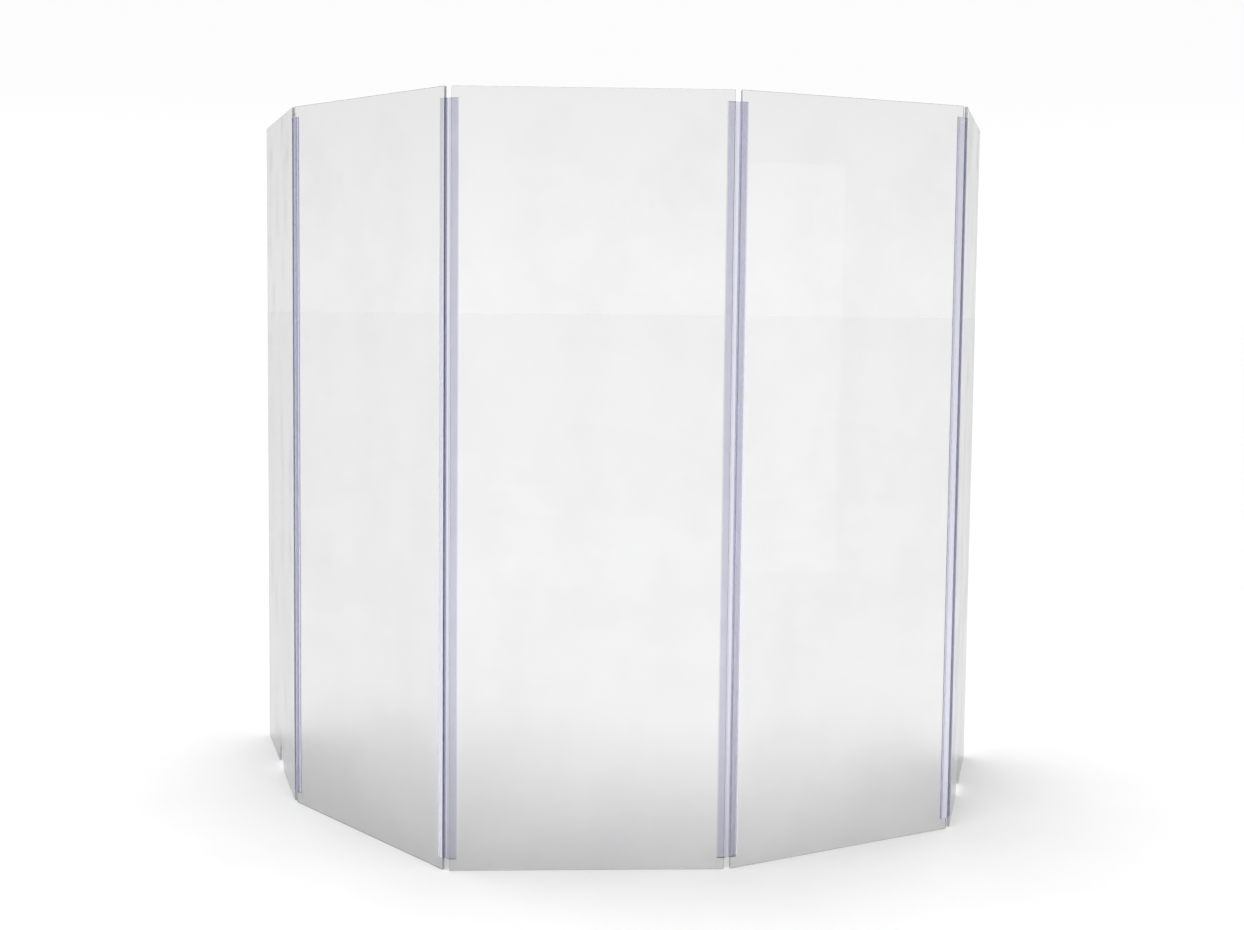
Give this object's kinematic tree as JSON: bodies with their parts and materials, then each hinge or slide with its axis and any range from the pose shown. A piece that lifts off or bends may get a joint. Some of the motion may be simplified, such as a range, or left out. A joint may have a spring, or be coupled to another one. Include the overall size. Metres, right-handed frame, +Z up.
{
  "type": "folding drum shield",
  "caption": "Free-standing folding screen of tall clear acrylic panels joined by full-length flexible hinges, to isolate the sound of a drum kit.",
  "frame": {"origin": "middle of the centre panel's bottom edge, where it stands on the floor", "axes": "+Z up, +X to the right for the audience, who are towards -Y; the side panels fold back towards +Y"},
  "size_m": [1.8956, 1.0631, 1.6764],
  "materials": {
    "clear_acrylic": "clear cast acrylic with polished edges",
    "clear_rigid_vinyl": "clear extruded rigid vinyl, faintly lavender",
    "soft_clear_vinyl": "clear soft vinyl, satin",
    "flexible_clear_vinyl": "clear flexible vinyl, glossy"
  },
  "bodies": {
    "centre": {"centre_panel": "clear_acrylic", "inner_left_hinge_near_channel": "clear_rigid_vinyl", "inner_left_hinge_near_liner": "soft_clear_vinyl", "inner_right_hinge_near_channel": "clear_rigid_vinyl", "inner_right_hinge_near_liner": "soft_clear_vinyl"},
    "inner_left_web": {"inner_left_hinge_web": "flexible_clear_vinyl"},
    "inner_left": {"inner_left_panel": "clear_acrylic", "inner_left_hinge_far_channel": "clear_rigid_vinyl", "inner_left_hinge_far_liner": "soft_clear_vinyl", "outer_left_hinge_near_channel": "clear_rigid_vinyl", "outer_left_hinge_near_liner": "soft_clear_vinyl"},
    "outer_left_web": {"outer_left_hinge_web": "flexible_clear_vinyl"},
    "outer_left": {"outer_left_panel": "clear_acrylic", "outer_left_hinge_far_channel": "clear_rigid_vinyl", "outer_left_hinge_far_liner": "soft_clear_vinyl"},
    "inner_right_web": {"inner_right_hinge_web": "flexible_clear_vinyl"},
    "inner_right": {"inner_right_panel": "clear_acrylic", "inner_right_hinge_far_channel": "clear_rigid_vinyl", "inner_right_hinge_far_liner": "soft_clear_vinyl", "outer_right_hinge_near_channel": "clear_rigid_vinyl", "outer_right_hinge_near_liner": "soft_clear_vinyl"},
    "outer_right_web": {"outer_right_hinge_web": "flexible_clear_vinyl"},
    "outer_right": {"outer_right_panel": "clear_acrylic", "outer_right_hinge_far_channel": "clear_rigid_vinyl", "outer_right_hinge_far_liner": "soft_clear_vinyl"}
  },
  "joints": [
    {"name": "inner_left_near_fold", "type": "hinge", "parent": "centre", "child": "inner_left_web", "pos_m": [-0.3003, 0, 0.0254], "axis": [0, 0, -1], "range_deg": [-115.5, 64.5]},
    {"name": "inner_left_far_fold", "type": "hinge", "parent": "inner_left_web", "child": "inner_left", "pos_m": [-0.3086, 0.00396, 0.0254], "axis": [0, 0, -1], "range_deg": [-115.5, 64.5]},
    {"name": "outer_left_near_fold", "type": "hinge", "parent": "inner_left", "child": "outer_left_web", "pos_m": [-0.68657, 0.47071, 0.0254], "axis": [0, 0, 1], "range_deg": [-77.75, 102.25]},
    {"name": "outer_left_far_fold", "type": "hinge", "parent": "outer_left_web", "child": "outer_left", "pos_m": [-0.69071, 0.47893, 0.0254], "axis": [0, 0, 1], "range_deg": [-77.75, 102.25]},
    {"name": "inner_right_near_fold", "type": "hinge", "parent": "centre", "child": "inner_right_web", "pos_m": [0.3003, 0, 0.0254], "axis": [0, 0, -1], "range_deg": [-77.5, 102.5]},
    {"name": "inner_right_far_fold", "type": "hinge", "parent": "inner_right_web", "child": "inner_right", "pos_m": [0.30928, 0.00199, 0.0254], "axis": [0, 0, -1], "range_deg": [-77.5, 102.5]},
    {"name": "outer_right_near_fold", "type": "hinge", "parent": "inner_right", "child": "outer_right_web", "pos_m": [0.85361, 0.25582, 0.0254], "axis": [0, 0, 1], "range_deg": [-113.25, 66.75]},
    {"name": "outer_right_far_fold", "type": "hinge", "parent": "outer_right_web", "child": "outer_right", "pos_m": [0.85974, 0.26268, 0.0254], "axis": [0, 0, 1], "range_deg": [-113.25, 66.75]}
  ]
}
